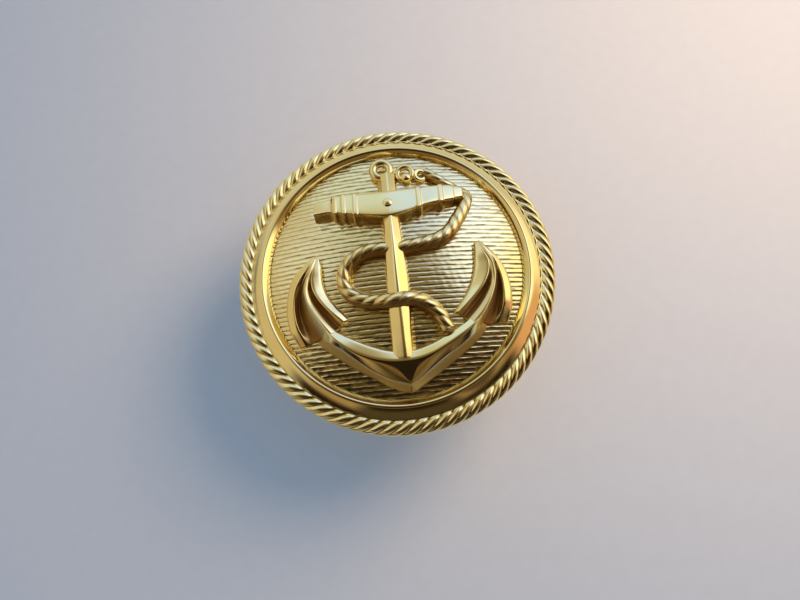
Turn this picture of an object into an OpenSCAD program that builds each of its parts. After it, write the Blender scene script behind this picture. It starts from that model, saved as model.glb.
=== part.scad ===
// Sew-on uniform button: a rope-edged bezel round a domed, ruled face with a fouled anchor,
// closed by a back plate that carries a swivelling eye shank.
// Z runs out through the face, Y runs up the anchor, and the origin is the foot of the shank's ring.

/* [Button] */
// Diameter over the rope edge
button_d = 23; // [18:0.5:32]
// Height of the rope's middle above the cloth side of the back
rim_depth = 1.8; // [1.5:0.1:3]
// Rise of the domed face from its edge to its crown
dome_rise = 1.7; // [0.8:0.1:2.4]

/* [Bezel] */
// Thickness of the rope edge
rope_d = 1.3; // [1:0.05:1.6]
// Strands round the rope edge
strands = 80; // [40:4:120]
// Slant of the cuts between strands, measured from the edge's own direction
strand_slant = 36; // [25:1:60]
// Depth of the cut between two strands
strand_cut = 0.22; // [0.1:0.02:0.3]
// Width of the smooth bevel inside the rope
bevel_w = 0.82; // [0.5:0.02:1.2]
// Height of the bevel's crest above the rope's middle
crest_h = 1.18; // [0.9:0.02:1.6]
// Width of the sloping wall from the crest down to the field
wall_w = 0.42; // [0.3:0.02:0.9]
// Drop from the crest to the field's edge
wall_drop = 0.5; // [0.3:0.05:0.7]
// Metal between the rope and the stack of plates inside it
skirt_t = 0.35; // [0.25:0.05:0.8]
// Thickness of the skirt where it meets the cloth
flank_t = 0.6; // [0.4:0.05:0.9]
// Thickness of the edge turned in under the back
crimp_t = 0.35; // [0.25:0.05:0.6]
// Width of the edge turned in under the back
crimp_w = 1; // [0.6:0.1:1.6]

/* [Face] */
// Thickness of the face plate
face_t = 0.55; // [0.35:0.05:0.8]
// Distance between two ruled lines
line_pitch = 0.33; // [0.25:0.01:0.6]
// Depth of a ruled line
line_depth = 0.08; // [0.04:0.01:0.14]

/* [Anchor] */
// Bare field between the anchor's crown and the wall
emblem_margin = 0.45; // [0.3:0.05:1.5]
// Height of the anchor's shank above the field
relief_h = 0.95; // [0.5:0.05:1.3]
// Thickness of the rope round the anchor
cable_d = 0.8; // [0.5:0.05:1]
// Diameter of the two studs that hold the anchor
stud_d = 0.9; // [0.6:0.1:1.2]

/* [Back and shank] */
// Thickness of the back plate
back_t = 0.5; // [0.35:0.05:0.8]
// Width of the sunk channel between the flat middle of the back and its turned-in edge
channel_w = 2.1; // [1:0.1:2.6]
// Thickness of the shank's ring
ring_t = 1.3; // [0.9:0.05:1.7]
// Clear width of the eye for thread
eye_d = 3.4; // [2.5:0.1:5]
// Diameter of the stem that turns in the eyelet
stem_d = 2; // [1.4:0.1:2.6]
// Diameter of the shoulder that stops the stem below the eyelet
shoulder_d = 3.2; // [2.6:0.1:4]
// Height of the neck from the ring's middle line to the shoulder's top
neck_h = 1.1; // [0.9:0.05:1.8]
// Wall of the eyelet's barrel
eyelet_wall = 0.35; // [0.25:0.05:0.6]
// Width of the eyelet's flanges
flange_w = 1; // [0.6:0.1:1.5]
// Thickness of the eyelet's outer flange
collar_t = 0.35; // [0.25:0.05:0.6]
// Thickness of the eyelet's inner flange
clinch_t = 0.22; // [0.15:0.01:0.4]
// Thickness of the inside washer
washer_t = 0.25; // [0.2:0.05:0.5]
// Diameter of the head riveted over on the washer
head_d = 3.4; // [2.6:0.1:4.2]
// Height of the riveted head
head_h = 0.45; // [0.3:0.05:0.8]

/* [Clearances] */
// Gap between pieces that are assembled and stay put
seat_gap = 0.02; // [0.01:0.01:0.05]
// Radial gap of the edges of the stacked plates inside the bezel
stack_gap = 0.05; // [0.03:0.01:0.1]
// Running gap of the shank in its eyelet
run_gap = 0.08; // [0.05:0.01:0.1]
// Room round the turning washer and head
turn_room = 0.6; // [0.4:0.1:1]

/* [Hidden] */

$fn = 96;
gold = "#d8b25a";
pale_gold = "#e3c67a";
brass = "#b58f45";
over = 0.3;

// The ring that is sewn through
ring_r = ring_t / 2;
eye_r = (eye_d + ring_t) / 2;
eye_z = eye_r + ring_r;
shoulder_z = eye_z + eye_r + neck_h;

// Levels from the cloth side of the back up to the crown of the face
back_z = shoulder_z + run_gap + collar_t;
rope_z = back_z + rim_depth;
field_z = rope_z + crest_h - wall_drop;
crown_z = field_z + dome_rise;
flange_z = back_z + crimp_t;
hub_top = back_z + back_t;
clinch_z = hub_top + clinch_t;
washer_z = clinch_z + run_gap;
head_z = washer_z + washer_t + seat_gap;
pocket_z = head_z + head_h + run_gap;

// Radii from the rope edge in to the field
rope_r = rope_d / 2;
rope_mid = button_d / 2 - rope_r;
rope_top_turn = 140;
rope_low_turn = -70;
crest_r = rope_mid + rope_r * cos(rope_top_turn) - bevel_w;
field_r = crest_r - wall_w;
cavity_r = rope_mid - rope_r - skirt_t;
stack_r = cavity_r - stack_gap;
seat_out = cavity_r + flank_t;
seat_in = cavity_r - crimp_w;
hub_r = seat_in - channel_w;

// The sphere that the face is part of
dome_r = (pow(field_r, 2) + pow(dome_rise, 2)) / (2 * dome_rise);
dome_z = crown_z - dome_r;
function dome_at(x, y) = dome_z + sqrt(pow(dome_r, 2) - x * x - y * y);

// Eyelet and shank fit
stem_r = stem_d / 2;
bore_r = stem_r + run_gap;
barrel_r = bore_r + eyelet_wall;
flange_r = barrel_r + flange_w;
washer_r = flange_r + flange_w / 2;
pocket_r = washer_r + turn_room;

// The anchor is drawn for a field 9.1 mm in radius and follows the field's size
drawn_reach = 8.65;
k = (field_r - emblem_margin) / drawn_reach;
sunk = 0.5;
stud_y = [4.6, -6.9];
stud_r = stud_d / 2;

// A point of the anchor at height h over the domed field
function on_face(p, h) = [p.x * k, p.y * k, dome_at(p.x * k, p.y * k) + h];

// A value part of the way from a to b
function along(a, b, t) = a + (b - a) * t;

// Convex block through a set of points
module block(points) {
  hull()
    polyhedron(points, [for (i = [0:len(points) - 3]) [i, i + 1, i + 2]]);
}

// Blocks between neighbouring sections of a bar, each section a list of points
module bar(sections) {
  for (i = [0:len(sections) - 2])
    block(concat(sections[i], sections[i + 1]));
}

// Round rope through a list of points
module rope_run(points, r) {
  for (i = [0:len(points) - 2])
    hull() {
      translate(points[i]) sphere(r, $fn = 12);
      translate(points[i + 1]) sphere(r, $fn = 12);
    }
}

// One half of the arms: inner edge, ridge and outer edge at each station from the crown out
arm_stations = [
  [[0, -6.4], [0, -6.7], [0, -8.3]],
  [[1.2, -6.25], [1.2, -6.6], [1.5, -7.65]],
  [[2.4, -5.8], [2.6, -6.2], [3, -6.85]],
  [[3.5, -5.15], [3.8, -5.7], [4.4, -6]],
  [[4.5, -4.4], [5, -4.9], [5.6, -5.1]],
  [[5.3, -3.3], [6, -3.8], [6.5, -4]],
  [[5.95, -2], [6.5, -2.6], [6.9, -2.8]]
];

// Heights of the arm's inner edge, ridge and outer edge, and how far its outer wall leans
arm_rise = [0.75, 1.05, 0.8] * relief_h;
arm_lean = [0, -0.3];
function arm_section(s) = [
  on_face(s[0], -sunk), on_face(s[0], arm_rise[0]), on_face(s[1], arm_rise[1]),
  on_face(s[2], arm_rise[2]), on_face(s[2] + arm_lean, -sunk)
];

// One fluke: outer edge, ridge and inner edge at each station from the barbs up to the bill
fluke_stations = [
  [[6.9, -4.8], [5.7, -4], [3.75, -3.75]],
  [[7.5, -3.7], [6.2, -3.2], [4.35, -2.85]],
  [[7.7, -2.5], [6.55, -2.3], [4.8, -1.8]],
  [[7.5, -1.4], [6.65, -1.3], [5.05, -0.9]],
  [[7.05, -0.4], [6.5, -0.3], [5.2, -0.1]],
  [[6.4, 0.4], [6.1, 0.45], [5.3, 0.55]],
  [[5.65, 1.05], [5.55, 1.08], [5.45, 1.05]]
];

// Heights of the fluke's edges and of the ridge between them
fluke_rise = [0.45, 1] * relief_h;
function fluke_section(s) = [
  on_face(s[0], -sunk), on_face(s[0], fluke_rise[0]), on_face(s[1], fluke_rise[1]),
  on_face(s[2], fluke_rise[0]), on_face(s[2], -sunk)
];

// The stock's section at x, grown all round where a hoop binds it
stock_y = 4.6;
stock_end = 5.4;
stock_half = 0.85;
stock_taper = 0.4;
stock_rise = relief_h * 1.2;
stock_lean = [0.35, 0.1];
function stock_section(x, grow) =
  let (half = stock_half - stock_taper * abs(x) / stock_end + grow)
  [
    on_face([x, stock_y - half - stock_lean[0]], -sunk), on_face([x, stock_y - half], stock_rise + grow),
    on_face([x, stock_y + half], stock_rise + grow), on_face([x, stock_y + half + stock_lean[1]], -sunk)
  ];

hoop_x = [2.4, 3.2, 3.9];
hoop_w = 0.3;
hoop_t = 0.12;
boss_r = 0.4;

// The shank's roofed section, part t of the way from the head down to the crown
shank_steps = 6;
shank_ends = [7, -6.6];
shank_half = [0.6, 0.75];
shank_bevel = 0.9;
shank_rise = [0.75, 1.1] * relief_h;
function shank_section(t) =
  let (y = along(shank_ends[0], shank_ends[1], t), half = along(shank_half[0], shank_half[1], t))
  [
    on_face([-half, y], -sunk), on_face([-half * shank_bevel, y], shank_rise[0]),
    on_face([0, y], shank_rise[1]), on_face([half * shank_bevel, y], shank_rise[0]),
    on_face([half, y], -sunk)
  ];

// The rope's way round the anchor, from the link at the head to its end on the right arm:
// place on the face and height of the rope's middle over it
cable_way = [
  [2.7, 6.8, 0.4], [3.5, 6.3, 0.35], [4.3, 5.7, 0.35], [5.1, 5.3, 0.5], [5.5, 4.8, 0.7],
  [5.3, 4, 0.5], [4.9, 3, 0.4], [4.3, 2.1, 0.4], [3.3, 1.5, 0.4], [2.1, 1, 0.4], [1, 0.8, 0.35],
  [0, 0.9, 0.3], [-1, 1, 0.35], [-2.1, 0.9, 0.4], [-3, 0.2, 0.4], [-3.4, -0.7, 0.4],
  [-3.2, -1.6, 0.4], [-2.5, -2.3, 0.45], [-1.5, -2.65, 0.6], [-0.7, -2.75, 0.9], [0.1, -2.75, 1.1],
  [0.9, -2.7, 0.9], [1.6, -2.8, 0.55], [2.3, -3.2, 0.45], [2.9, -4, 0.45], [3.4, -4.9, 0.6]
];

// The head's ring and the two links between it and the rope: place, ring radius, thickness
head_rings = [[[-0.15, 7.35], 0.62, 0.38], [[1.25, 6.7], 0.48, 0.3], [[2.35, 6.55], 0.42, 0.26]];

// The rope's round section, from its underside over to where the bevel starts
rope_step = 15;
bevel_belly = [0.4, 0.75];
rope_arc = [for (a = [rope_low_turn:rope_step:rope_top_turn])
  [rope_mid + rope_r * cos(a), rope_z + rope_r * sin(a)]];

module rope_rim() {
  crest_top = rope_z + crest_h;
  bevel_z = rope_z + rope_r * sin(rope_top_turn);
  mid_r = along(crest_r, crest_r + bevel_w, bevel_belly[0]);
  mid_z = along(bevel_z, crest_top, bevel_belly[1]);
  lip_z = field_z + seat_gap;
  section = concat(
    [[seat_in, back_z], [seat_out, back_z]],
    rope_arc,
    [[mid_r, mid_z], [crest_r, crest_top], [field_r, lip_z]],
    [[cavity_r, lip_z], [cavity_r, flange_z], [seat_in, flange_z]]
  );
  color(gold)
    difference() {
      rotate_extrude()
        polygon(section);
      for (i = [0:strands - 1])
        rotate([0, 0, 360 * i / strands])
          strand_groove();
    }
}

// One straight V cut across the rope edge, slanted so that it runs outwards clockwise
groove_turn = 40;
groove_flank = 48;
groove_reach = 2.5;
module strand_groove() {
  tall = strand_cut * groove_reach;
  wide = tall * tan(groove_flank);
  translate([rope_mid, 0, rope_z])
    rotate([0, -groove_turn, 0])
      translate([rope_r - strand_cut, 0, 0])
        rotate([strand_slant - 90, 0, 0])
          linear_extrude(height = rope_d * groove_reach, center = true)
            polygon([[0, 0], [tall, wide], [tall, -wide]]);
}

module face_plate() {
  line_count = floor(field_r / line_pitch);
  color(pale_gold)
    difference() {
      intersection() {
        translate([0, 0, back_z])
          cylinder(r = stack_r, h = crown_z - back_z + over);
        translate([0, 0, dome_z])
          sphere(dome_r);
      }
      translate([0, 0, dome_z])
        sphere(dome_r - face_t);
      for (i = [-line_count:line_count])
        ruled_line(i * line_pitch);
      for (y = stud_y)
        translate([0, y * k, back_z])
          cylinder(r = stud_r + seat_gap, h = crown_z - back_z + over);
    }
}

// One ruled line across the field at height y, of even depth over the dome
line_mouth = 0.8;
module ruled_line(y) {
  line_r = sqrt(pow(dome_r, 2) - y * y);
  tall = line_depth + over;
  wide = line_pitch * line_mouth / 2 * tall / line_depth;
  translate([0, y, dome_z])
    rotate([90, 0, 0])
      rotate_extrude()
        polygon([[line_r - line_depth, 0], [line_r + over, wide], [line_r + over, -wide]]);
}

module anchor_emblem() {
  color(gold)
    difference() {
      union() {
        anchor_relief();
        for (y = stud_y)
          translate([0, y * k, stud_foot(y * k)])
            cylinder(r = stud_r, h = face_t + relief_h / 2, $fn = 32);
      }
      under_face();
    }
}

module anchor_relief() {
  for (side = [0, 1])
    mirror([side, 0, 0]) {
      bar([for (s = arm_stations) arm_section(s)]);
      bar([for (s = fluke_stations) fluke_section(s)]);
      bar([for (t = [0, 0.5, 1]) stock_section(stock_end * t, 0)]);
      for (x = hoop_x)
        bar([for (half = [-hoop_w, hoop_w] / 2) stock_section(x + half, hoop_t)]);
    }
  bar([for (i = [0:shank_steps]) shank_section(i / shank_steps)]);
  rope_run([for (p = cable_way) on_face(p, p.z)], cable_d / 2 * k);
  for (ring = head_rings)
    translate(on_face(ring[0], ring[2] / 2))
      rotate_extrude($fn = 32)
        translate([ring[1] * k, 0])
          circle(ring[2] * k, $fn = 12);
  translate(on_face([0, stock_y], stock_rise))
    sphere(boss_r * k, $fn = 24);
}

// What lies under the face: the dome itself, apart from the studs' holes
module under_face() {
  steps = 24;
  arc = [for (i = [0:steps]) let (x = stack_r * i / steps) [x, dome_at(x, 0) + seat_gap]];
  difference() {
    rotate_extrude()
      polygon(concat([[0, back_z]], arc, [[stack_r, back_z]]));
    for (y = stud_y)
      translate([0, y * k, stud_foot(y * k)])
        cylinder(r = stud_r + seat_gap / 2, h = crown_z - back_z, $fn = 32);
  }
}

// Height of a stud's foot, which stays inside the face plate, at distance y from the middle
function stud_foot(y) = dome_z + sqrt(pow(dome_r - face_t, 2) - pow(abs(y) - stud_r, 2));

module filler_disc() {
  color("tan")
    difference() {
      intersection() {
        translate([0, 0, flange_z + back_t + seat_gap])
          cylinder(r = stack_r, h = crown_z - back_z);
        translate([0, 0, dome_z])
          sphere(dome_r - face_t - seat_gap);
      }
      translate([0, 0, back_z])
        cylinder(r = pocket_r, h = pocket_z - back_z);
    }
}

module back_plate() {
  slope_w = channel_w / 3;
  low = [[barrel_r + seat_gap, back_z], [hub_r, back_z], [hub_r + slope_w, flange_z], [stack_r, flange_z]];
  high = [for (i = [len(low) - 1:-1:0]) low[i] + [0, back_t]];
  color(gold)
    rotate_extrude()
      polygon(concat(low, high));
}

module shank_eyelet() {
  color(brass)
    rotate_extrude()
      polygon([
        [bore_r, back_z - collar_t], [flange_r, back_z - collar_t], [flange_r, back_z],
        [barrel_r, back_z], [barrel_r, hub_top], [flange_r, hub_top], [flange_r, clinch_z],
        [bore_r, clinch_z]
      ]);
}

module shank_washer() {
  color("silver")
    translate([0, 0, washer_z])
      difference() {
        cylinder(r = washer_r, h = washer_t);
        translate([0, 0, -over])
          cylinder(r = stem_r + seat_gap, h = washer_t + 2 * over);
      }
}

// The sewn ring with its neck, shoulder and stem, and the head riveted over inside
module shank_loop() {
  neck_z = eye_z + eye_r;
  edge = head_h / 2;
  shoulder_r = shoulder_d / 2;
  head_r = head_d / 2;
  color(brass) {
    translate([0, 0, eye_z])
      rotate([90, 0, 0])
        rotate_extrude()
          translate([eye_r, 0])
            circle(ring_r);
    rotate_extrude()
      polygon([
        [0, neck_z], [stem_r, neck_z], [shoulder_r, shoulder_z - edge], [shoulder_r, shoulder_z],
        [stem_r, shoulder_z], [stem_r, head_z], [head_r, head_z], [head_r, head_z + edge],
        [head_r - edge, head_z + head_h], [0, head_z + head_h]
      ]);
  }
}

rope_rim();
face_plate();
anchor_emblem();
filler_disc();
back_plate();
shank_eyelet();
shank_washer();
shank_loop();
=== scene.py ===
import bpy
import numpy as np
from mathutils import Matrix, Vector


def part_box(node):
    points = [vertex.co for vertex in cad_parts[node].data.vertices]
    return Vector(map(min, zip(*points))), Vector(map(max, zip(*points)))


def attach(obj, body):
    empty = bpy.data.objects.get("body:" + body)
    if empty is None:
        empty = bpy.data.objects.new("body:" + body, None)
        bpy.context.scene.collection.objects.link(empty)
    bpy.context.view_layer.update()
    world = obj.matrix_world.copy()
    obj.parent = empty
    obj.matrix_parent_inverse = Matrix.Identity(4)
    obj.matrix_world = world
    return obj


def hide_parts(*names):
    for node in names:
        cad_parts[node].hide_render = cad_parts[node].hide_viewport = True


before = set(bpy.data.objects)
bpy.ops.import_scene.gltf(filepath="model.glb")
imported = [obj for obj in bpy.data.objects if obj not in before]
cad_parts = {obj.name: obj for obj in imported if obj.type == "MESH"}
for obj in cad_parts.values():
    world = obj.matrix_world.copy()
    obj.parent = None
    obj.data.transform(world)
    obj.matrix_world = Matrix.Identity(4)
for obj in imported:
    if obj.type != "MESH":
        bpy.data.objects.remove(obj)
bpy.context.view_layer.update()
mm = 0.001

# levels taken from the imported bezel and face
rimLow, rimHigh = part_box("rope_rim")
backZ = rimLow.z / mm  # cloth side of the back
crestZ = rimHigh.z / mm  # top of the bevel
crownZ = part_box("face_plate")[1].z / mm  # middle of the domed face
print("frame: back at", round(backZ, 2), "crest at", round(crestZ, 2), "crown at", round(crownZ, 2))

bezel = {
    "outerR": 11.49,  # over the rope
    "ropeR": 0.65,  # rope's own radius
    "ropeRows": 46,  # points round the rope's section
    "lowTurn": -72.0,  # rope's round starts here, degrees in its section
    "topTurn": 129.0,  # and ends here, where the bevel starts
    "strands": 80,
    "perStrand": 10,  # columns for one strand
    "slant": 43.0,  # degrees between a strand and the edge
    "cut": 0.14,  # depth between strands
    "cutPower": 0.75,  # lower is a sharper valley
    "cutEnds": 14.0,  # degrees over which the cut fades at both ends
    "grooveShade": (0.1, 0.06),  # painted shade and dulling where the bevel meets the rope, and its half width
    "bevelBelly": (9.98, 0.905),  # the bevel bows out through here
    "bevelRows": 16,
    "crestR": 9.53,
    "crestAboveRope": 1.18,
    "crestFall": (0.05, 0.02),  # the wall starts this far in and down from the crest
    "wallBend": (9.14, 0.86),  # steeper below here
    "wallDrop": 0.56,
    "fieldR": 9.0,  # foot of the inner wall, just under the field
    "cavityR": 9.85,
    "crimp": 0.35,
    "seat": (8.86, 10.45),  # flat ring on the cloth
}
ropeZ = crestZ - bezel["crestAboveRope"]

dome = {"rise": 1.7, "edgeR": 9.11}
dome["radius"] = (dome["edgeR"] ** 2 + dome["rise"] ** 2) / (2 * dome["rise"])
dome["middleZ"] = crownZ - dome["radius"]


# height of the domed field over a place x, y
def domeZ(x, y):
    return dome["middleZ"] + np.sqrt(dome["radius"] ** 2 - x * x - y * y)


# turns places with a height over the field into points in space
def onField(p):
    return np.stack([p[..., 0], p[..., 1], domeZ(p[..., 0], p[..., 1]) + p[..., 2]], -1)


# smooth line: a cubic through each given point, with slopes taken from its neighbours
def smoothLine(points, count):
    p = np.asarray(points, float)
    step = np.linalg.norm(np.diff(p, axis=0), axis=1)
    t = np.concatenate([[0.0], np.cumsum(step)]) / step.sum()
    slope = np.gradient(p, t, axis=0)
    s = np.linspace(0, 1, count)
    i = np.clip(np.searchsorted(t, s, "right") - 1, 0, len(t) - 2)
    w = (t[i + 1] - t[i])[:, None]
    u = (s - t[i])[:, None] / w
    near = p[i] * (1 + 2 * u) * (1 - u) ** 2 + slope[i] * w * u * (1 - u) ** 2
    far = p[i + 1] * u * u * (3 - 2 * u) + slope[i + 1] * w * u * u * (u - 1)
    return near + far


# loft: straight from each feature line to the next, then edges rounded by averaging neighbours
def loft(lines, across, passes):
    rails = np.stack(lines, 1)
    f = np.linspace(0, 1, across, endpoint=False)[None, None, :, None]
    spans = rails[:, :-1, None] * (1 - f) + rails[:, 1:, None] * f
    grid = np.concatenate([spans.reshape(len(rails), -1, rails.shape[-1]), rails[:, -1:]], 1)
    for _ in range(passes):
        grid[:, 1:-1] = (grid[:, :-2] + 2 * grid[:, 1:-1] + grid[:, 2:]) / 4
    return grid


# way gone along a line at each of its points: the sum of the steps before it
def lengthAlong(line):
    return np.concatenate([[0.0], np.cumsum(np.linalg.norm(np.diff(line, axis=0), axis=1))])


# faces of a grid of rows and columns; columns run round, and so do rows where they are closed
def gridFaces(rows, cols, closeRows):
    r = np.arange(rows if closeRows else rows - 1)[:, None]
    c = np.arange(cols)[None, :]
    nextRow, nextCol = (r + 1) % rows, (c + 1) % cols
    quad = [r * cols + c, r * cols + nextCol, nextRow * cols + nextCol, nextRow * cols + c]
    return np.stack([np.broadcast_to(q, (len(r), cols)) for q in quad], -1).reshape(-1, 4)


# closed skin: columns always run round, and open ends are closed by a fan to a middle point
def closedSkin(grid, closeRows=False):
    rows, cols = grid.shape[:2]
    points = grid.reshape(-1, 3)
    faces = [gridFaces(rows, cols, closeRows)]
    if not closeRows:
        points = np.concatenate([points, grid[:1].mean(1), grid[-1:].mean(1)])
        c = np.arange(cols)
        n = (c + 1) % cols
        last = (rows - 1) * cols
        faces.append(np.stack([n, c, np.full(cols, rows * cols)], -1))
        faces.append(np.stack([last + c, last + n, np.full(cols, rows * cols + 1)], -1))
    return points, faces


# painted shade of a skin's points: a grid of values, and none at the middle points of its two ends
def withEnds(values):
    return np.concatenate([values.ravel(), [0, 0]])


# six times the volume inside a skin: triple products of its corners, negative when faces look inwards
def skinVolume(points, faces):
    total = 0
    for group in faces:
        a, b, c, d = (points[group[:, k]] for k in (0, 1, 2, -1))
        total += np.einsum("ij,ij->i", a, np.cross(b, c) + np.cross(c, d)).sum()
    return total


# one piece from one or more closed skins, in millimetres, with each point's amount of painted shade
def makePiece(name, skins, material, node, body="button", sunk=None):
    points, faces = [], []
    start = 0
    for skinPoints, skinFaces in skins:
        way = -1 if skinVolume(skinPoints, skinFaces) < 0 else 1
        for group in skinFaces:
            faces += (group[:, ::way] + start).tolist()
        points.append(skinPoints)
        start += len(skinPoints)
    points = np.concatenate(points) * mm
    mesh = bpy.data.meshes.new(name)
    mesh.from_pydata(points.tolist(), [], faces)
    mesh.polygons.foreach_set("use_smooth", np.ones(len(faces), bool))
    # painted shade: each point's amount, kept as an attribute that the metal reads
    depth = mesh.attributes.new("painted_shade", "FLOAT", "POINT")
    values = np.zeros(len(points)) if sunk is None else sunk
    depth.data.foreach_set("value", values.astype(np.float32))
    mesh.update()
    piece = bpy.data.objects.new(name, mesh)
    bpy.context.scene.collection.objects.link(piece)
    mesh.materials.append(material)
    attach(piece, body)
    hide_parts(node)
    print("piece", name, len(points), "points")


# profile of radius and height spun round the axis
def spin(profile, columns):
    turn = np.linspace(0, 2 * np.pi, columns, endpoint=False)
    p = np.asarray(profile, float)
    r, z = p[:, 0][None, :], p[:, 1][None, :]
    return np.stack([r * np.cos(turn)[:, None], r * np.sin(turn)[:, None], z + 0 * turn[:, None]], -1)


# profile with straight runs between corners, each corner rounded by averaging
def softProfile(corners, step, passes, closed=True):
    p = np.asarray(corners, float)
    q = np.roll(p, -1, 0) if closed else p[1:]
    p = p if closed else p[:-1]
    runs = []
    for a, b in zip(p, q):
        n = max(2, int(np.linalg.norm(b - a) / step))
        runs.append(a + (b - a) * np.linspace(0, 1, n, endpoint=False)[:, None])
    line = np.concatenate(runs)
    if not closed:
        line = np.concatenate([line, q[-1:]])
    for _ in range(passes):
        soft = (np.roll(line, 1, 0) + 2 * line + np.roll(line, -1, 0)) / 4
        if not closed:
            soft[[0, -1]] = line[[0, -1]]
        line = soft
    return line


# new material, with what is needed to build on its Principled shader
def newMaterial(name):
    material = bpy.data.materials.new(name)
    material.use_nodes = True
    nodes, links = material.node_tree.nodes, material.node_tree.links
    return material, nodes, links, nodes["Principled BSDF"]


# noise over the object's own places; a stretch under one draws it out along that axis
def noise(nodes, links, scale, detail, stretch=(1, 1, 1)):
    place = nodes.new("ShaderNodeTexCoord")
    mapping = nodes.new("ShaderNodeMapping")
    mapping.inputs["Scale"].default_value = stretch
    texture = nodes.new("ShaderNodeTexNoise")
    texture.inputs["Scale"].default_value = scale
    texture.inputs["Detail"].default_value = detail
    links.new(place.outputs["Object"], mapping.inputs["Vector"])
    links.new(mapping.outputs["Vector"], texture.inputs["Vector"])
    return texture.outputs["Fac"]


# colour that runs from one to another between two values
def ramp(nodes, links, value, ends, colours):
    node = nodes.new("ShaderNodeValToRGB")
    for element, end, colour in zip(node.color_ramp.elements, ends, colours):
        element.position = end
        element.color = colour
    links.new(value, node.inputs["Fac"])
    return node.outputs["Color"]


# value carried from one range to another and held at its ends
def mapRange(nodes, links, value, before, after=(0, 1), kind="LINEAR"):
    node = nodes.new("ShaderNodeMapRange")
    node.interpolation_type = kind
    node.inputs["From Min"].default_value, node.inputs["From Max"].default_value = before
    node.inputs["To Min"].default_value, node.inputs["To Max"].default_value = after
    links.new(value, node.inputs["Value"])
    return node.outputs["Result"]


# arithmetic on sockets and plain numbers
def mathNode(nodes, links, operation, *values):
    node = nodes.new("ShaderNodeMath")
    node.operation = operation
    for socket, value in zip(node.inputs, values):
        if isinstance(value, bpy.types.NodeSocket):
            links.new(value, socket)
        else:
            socket.default_value = value
    return node.outputs["Value"]


# how far a vector goes along a direction
def dotNode(nodes, links, vector, direction):
    node = nodes.new("ShaderNodeVectorMath")
    node.operation = "DOT_PRODUCT"
    node.inputs[1].default_value = direction
    links.new(vector, node.inputs[0])
    return node.outputs["Value"]


# one colour laid over another where a mask is full
def mixColour(nodes, links, mask, below, above):
    node = nodes.new("ShaderNodeMix")
    node.data_type = "RGBA"
    links.new(mask, node.inputs["Factor"])
    if isinstance(below, bpy.types.NodeSocket):
        links.new(below, node.inputs["A"])
    else:
        node.inputs["A"].default_value = below
    node.inputs["B"].default_value = above
    return node.outputs["Result"]


# one shader where a mask is empty, another where it is full
def mixShader(nodes, links, mask, empty, full):
    node = nodes.new("ShaderNodeMixShader")
    links.new(mask, node.inputs["Fac"])
    links.new(empty, node.inputs[1])
    links.new(full, node.inputs[2])
    return node.outputs["Shader"]


noiseMiddle = (0.3, 0.7)  # noise mostly keeps to this range

plating = {
    "clouds": 260,  # scale of the clouds in the colour
    "cloudEnds": (0.35, 0.7),
    "scuffs": 780,  # scale of the changes in roughness
    "grain": 5200,  # scale of the polishing marks
    "grainHeight": 0.00002,
    # painted shade: the dark brown mixed into the plating by each point's shade value
    "sunkColour": (0.36, 0.18, 0.042, 1),
    "sunkRough": 0.4,  # added to the roughness where a point has painted shade
    "sunkGrain": 0.3,  # and to the strength of the marks
}


# plated metal: cloudy plating colour, with painted shade (a darker brown, and rougher) in hollows and on
# lower sides, with fine polishing marks
def platedMetal(name, light, deep, rough, stretch=(1, 1, 1), marks=0.03):
    material, nodes, links, shader = newMaterial(name)
    p = plating
    sunk = nodes.new("ShaderNodeAttribute")
    sunk.attribute_name = "painted_shade"
    depth = sunk.outputs["Fac"]
    cloud = ramp(nodes, links, noise(nodes, links, p["clouds"], 3), p["cloudEnds"], (light, deep))
    # painted shade: the colour runs to the dark brown by each point's shade value
    links.new(mixColour(nodes, links, depth, cloud, p["sunkColour"]), shader.inputs["Base Color"])
    scuffs = mapRange(nodes, links, noise(nodes, links, p["scuffs"], 4, stretch), noiseMiddle, rough)
    dull = mathNode(nodes, links, "MULTIPLY_ADD", depth, p["sunkRough"], scuffs)
    links.new(dull, shader.inputs["Roughness"])
    polish = nodes.new("ShaderNodeBump")
    strength = mathNode(nodes, links, "MULTIPLY_ADD", depth, p["sunkGrain"], marks)
    links.new(strength, polish.inputs["Strength"])
    polish.inputs["Distance"].default_value = p["grainHeight"]
    links.new(noise(nodes, links, p["grain"], 5, stretch), polish.inputs["Height"])
    links.new(polish.outputs["Normal"], shader.inputs["Normal"])
    shader.inputs["Metallic"].default_value = 1.0
    return material


bezelGilt = platedMetal("bezelGilt", (0.90, 0.73, 0.34, 1), (0.84, 0.64, 0.26, 1), (0.07, 0.15))
fieldGilt = platedMetal("fieldGilt", (0.90, 0.76, 0.40, 1), (0.85, 0.69, 0.32, 1), (0.10, 0.2),
                        stretch=(0.25, 1, 1), marks=0.06)
anchorGilt = platedMetal("anchorGilt", (0.91, 0.74, 0.35, 1), (0.85, 0.65, 0.27, 1), (0.06, 0.13))
backGilt = platedMetal("backGilt", (0.80, 0.62, 0.32, 1), (0.68, 0.48, 0.21, 1), (0.2, 0.34),
                       stretch=(1, 1, 0.3), marks=0.1)
shankBrass = platedMetal("shankBrass", (0.78, 0.59, 0.28, 1), (0.64, 0.45, 0.19, 1), (0.14, 0.28),
                         marks=0.08)
print("metals mixed")


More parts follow.
